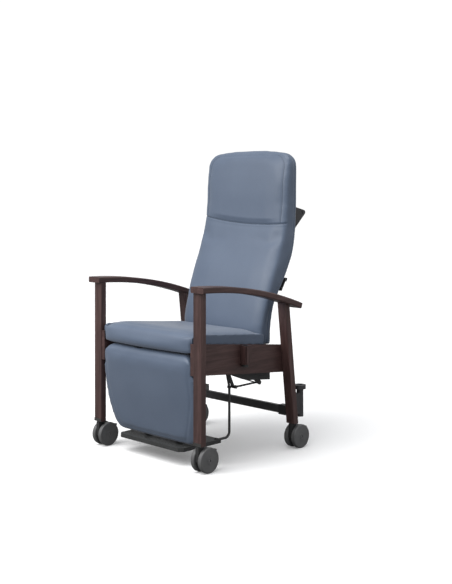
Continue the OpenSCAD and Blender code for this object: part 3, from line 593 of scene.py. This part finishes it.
def make_back():
    obj = padded_form("back_upholstery", BACK_NODES, back_hold, voxel=0.0055, rounds=36,
                      pressure=4.0, cap=0.012, wider=0.006, forward=0.0)
    finish_soft(obj, back_detail, "back", BACK_NODES)
    across = [(x, head_seam_z(x)) for x in steps(-HEAD_SEAM_HALF, HEAD_SEAM_HALF, 90)]
    sew_line("headrest_seam", obj, "back", across, BACK_AHEAD, HEAD_SEAM_R)
    for side, label in ((1, "left"), (-1, "right")):
        sew_line("headrest_side_seam_" + label, obj, "back", head_side_path(side), BACK_AHEAD, SIDE_SEAM_R)


# ---------- the seat ----------

SEAT_NODES = ["seat_cushion"]
SEAT_AHEAD = -0.5
SEAT_HALF = 0.262
SEAT_SEAM_IN = 0.014
SEAT_SEAM_LOW = 0.438
SEAT_SEAM_HIGH = 0.500
SEAT_SEAM_SINK = 0.0018
SEAT_SEAM_WIDTH = 0.0045
SEAT_SEAM_R = 0.0009
SEAT_FALL = 0.0095
SEAT_CORNER = 0.0060
SEAT_DIP = 0.0050
SEAT_DIP_Y = -0.10
BOARD_REF_Y = -0.286
BOARD_REF_Z = 0.463
BOARD_SLOPE = 0.1122


def seat_hold(p):
    """Keeps the underside flat where the sloping board carries it."""
    low = BOARD_REF_Z - BOARD_SLOPE * (p.y - BOARD_REF_Y)
    return smoothstep(0.007, 0.002, abs(p.z - low)) * smoothstep(-0.32, -0.30, p.y)


def seat_detail(p, n):
    """The top dips where the sitter's hips go and falls to the sides; the front corners are rounded
    and carry a sunk seam."""
    up = smoothstep(0.4, 0.8, n.z)
    ahead = smoothstep(0.5, 0.9, -n.y)
    edge = SEAT_HALF - abs(p.x)
    out = -SEAT_FALL * up * smoothstep(0.110, 0.0, edge)
    out -= SEAT_CORNER * smoothstep(0.050, 0.0, edge) * smoothstep(-0.290, -0.335, p.y)
    out -= SEAT_DIP * up * gauss(p.x, 0.15) * gauss(p.y - SEAT_DIP_Y, 0.12)
    out -= SEAT_SEAM_SINK * gauss(edge - SEAT_SEAM_IN, SEAT_SEAM_WIDTH) * ahead
    return out


def make_seat():
    obj = padded_form("seat_upholstery", SEAT_NODES, seat_hold, voxel=0.005, rounds=14,
                      pressure=4.5, cap=0.012, wider=0.007, forward=0.006)
    finish_soft(obj, seat_detail, "frame", SEAT_NODES)
    for side, label in ((1, "left"), (-1, "right")):
        upright = [(side * (SEAT_HALF - SEAT_SEAM_IN), z) for z in steps(SEAT_SEAM_LOW, SEAT_SEAM_HIGH, 24)]
        sew_line("seat_corner_seam_" + label, obj, "frame", upright, SEAT_AHEAD, SEAT_SEAM_R)


# ---------- the legrest ----------
# The pad has its own leaning frame: the origin at its hinge, down along the pad, front out of its face

LEGREST_NODES = ["legrest_pad"]
PAD_LEAN = math.radians(9.1)
PAD_HINGE = Vector((0, -0.330, 0.398))
PAD_DOWN = Vector((0, math.sin(PAD_LEAN), -math.cos(PAD_LEAN)))
PAD_FRONT = Vector((0, -math.cos(PAD_LEAN), -math.sin(PAD_LEAN)))
PAD_IN_RAILS = 0.2495
RAILS_REACH = 0.050
FOOT_FLARE = 0.045
PAD_TOP_HALF = 0.259
PAD_TAPER = 0.0017
PAD_TAPER_FROM_CM = 14.0
PAD_TAPER_POWER = 1.22
PAD_CROWN = 0.0030
PAD_CROWN_LOW = 0.13
PAD_LINE_SINK = 0.0010
PAD_LINE_WIDTH = 0.0060
PAD_LINE_IN = 0.022
PAD_LINE_LOW = 0.300


def down_the_pad(p):
    return (p - PAD_HINGE).dot(PAD_DOWN)


def pad_hold(p):
    """Keeps the rear face flat on its board."""
    return smoothstep(0.004, -0.001, (p - PAD_HINGE).dot(PAD_FRONT))


def pad_half(s):
    """Half width of the pad at the distance s below its hinge."""
    return PAD_TOP_HALF - PAD_TAPER * max(0.0, s * 100 - PAD_TAPER_FROM_CM) ** PAD_TAPER_POWER


def pad_detail(p, n):
    """A faint line inside the face's edge, and a crown across its middle."""
    s = down_the_pad(p)
    inset = pad_half(s) - PAD_LINE_IN - abs(p.x)
    from_line = min(inset, PAD_LINE_LOW - s)
    face = smoothstep(0.3, 0.8, n.dot(PAD_FRONT))
    out = -PAD_LINE_SINK * gauss(from_line, PAD_LINE_WIDTH) * face * smoothstep(0.0, 0.03, s)
    out += PAD_CROWN * gauss(s - PAD_CROWN_LOW, 0.10) * face * smoothstep(0.0, 0.12, inset)
    return out


def clear_rails_and_flare(obj):
    """Holds the pad's top within the rails and widens it towards its foot."""
    for v in obj.data.vertices:
        if down_the_pad(v.co) < RAILS_REACH:
            v.co.x = min(max(v.co.x, -PAD_IN_RAILS), PAD_IN_RAILS)
        v.co.x *= 1 + FOOT_FLARE * smoothstep(0.10, 0.27, down_the_pad(v.co))


def make_legrest():
    obj = padded_form("legrest_upholstery", LEGREST_NODES, pad_hold, voxel=0.005, rounds=12,
                      pressure=4.0, cap=0.010, wider=0.005, forward=0.004)
    clear_rails_and_flare(obj)
    finish_soft(obj, pad_detail, "legrest", LEGREST_NODES)


make_back()
make_seat()
make_legrest()


# ---------- stage ----------

FLOOR_HALF = 14
FLOOR_TONE = 0.86
FLOOR_GLOW = 0.15
FLOOR_BOUNCE = 0.18
SKY_SEEN = 1.05
DOME_TINT = (0.97, 0.98, 1.0, 1)
DOME_MINUS_X = 0.50
DOME_PLUS_X = 0.82
SUN_STRENGTH = 1.7
SUN_SPREAD = math.radians(36)
SUN_TOWARD = Vector((0.05, 0.34, -0.94))
SOFTBOX_PLACE = Vector((-0.8, -2.2, 2.1))
SOFTBOX_TARGET = Vector((0, 0, 0.85))
SOFTBOX_SIZE = 1.5
SOFTBOX_POWER = 43


def seen_or_not(tree, lighting, seen, target):
    """Lets the camera see one shader while the light that falls on the chair comes from the other."""
    path = tree.nodes.new("ShaderNodeLightPath")
    mix = tree.nodes.new("ShaderNodeMixShader")
    tree.links.new(path.outputs["Is Camera Ray"], mix.inputs[0])
    tree.links.new(lighting, mix.inputs[1])
    tree.links.new(seen, mix.inputs[2])
    tree.links.new(mix.outputs[0], target)


def make_floor():
    mesh = bpy.data.meshes.new("floor")
    bm = bmesh.new()
    bmesh.ops.create_grid(bm, x_segments=24, y_segments=24, size=FLOOR_HALF)
    bm.to_mesh(mesh)
    bm.free()
    floor = bpy.data.objects.new("floor", mesh)
    scene.collection.objects.link(floor)
    mat, tree, bsdf = new_material("studio_floor")
    set_inputs(bsdf, Base_Color=(FLOOR_TONE, FLOOR_TONE, FLOOR_TONE, 1), Roughness=0.8)
    set_inputs(bsdf, Specular_IOR_Level=0.2)
    set_inputs(bsdf, Emission_Color=(1, 1, 1, 1), Emission_Strength=FLOOR_GLOW)
    bounce = add(tree, "ShaderNodeBsdfDiffuse", Color=(FLOOR_BOUNCE, FLOOR_BOUNCE, FLOOR_BOUNCE, 1))
    surface = tree.nodes["Material Output"].inputs["Surface"]
    seen_or_not(tree, bounce.outputs[0], bsdf.outputs[0], surface)
    mesh.materials.append(mat)


def make_world():
    """The camera sees plain white; the chair is lit by a dome that grows stronger towards +X."""
    world = bpy.data.worlds.new("studio")
    scene.world = world
    world.use_nodes = True
    tree = world.node_tree
    seen = tree.nodes["Background"]
    set_inputs(seen, Color=(1.0, 1.0, 1.0, 1), Strength=SKY_SEEN)
    dome = add(tree, "ShaderNodeBackground", Color=DOME_TINT)
    direction = tree.nodes.new("ShaderNodeTexCoord")
    split = tree.nodes.new("ShaderNodeSeparateXYZ")
    level = add(tree, "ShaderNodeMapRange", From_Min=-1, From_Max=1, To_Min=DOME_MINUS_X, To_Max=DOME_PLUS_X)
    tree.links.new(direction.outputs["Generated"], split.inputs[0])
    tree.links.new(split.outputs["X"], level.inputs["Value"])
    tree.links.new(level.outputs[0], dome.inputs["Strength"])
    surface = tree.nodes["World Output"].inputs["Surface"]
    seen_or_not(tree, dome.outputs[0], seen.outputs[0], surface)


def aimed_light(name, kind, energy, toward):
    data = bpy.data.lights.new(name, kind)
    data.energy = energy
    light = bpy.data.objects.new(name, data)
    scene.collection.objects.link(light)
    light.rotation_euler = toward.to_track_quat("-Z", "Y").to_euler()
    return light


def make_lights():
    sun = aimed_light("soft_key", "SUN", SUN_STRENGTH, SUN_TOWARD)
    sun.data.angle = SUN_SPREAD
    softbox = aimed_light("front_softbox", "AREA", SOFTBOX_POWER, SOFTBOX_TARGET - SOFTBOX_PLACE)
    softbox.data.size = SOFTBOX_SIZE
    softbox.location = SOFTBOX_PLACE


make_floor()
make_world()
make_lights()
scene.view_settings.view_transform = "Standard"
scene.view_settings.look = "None"
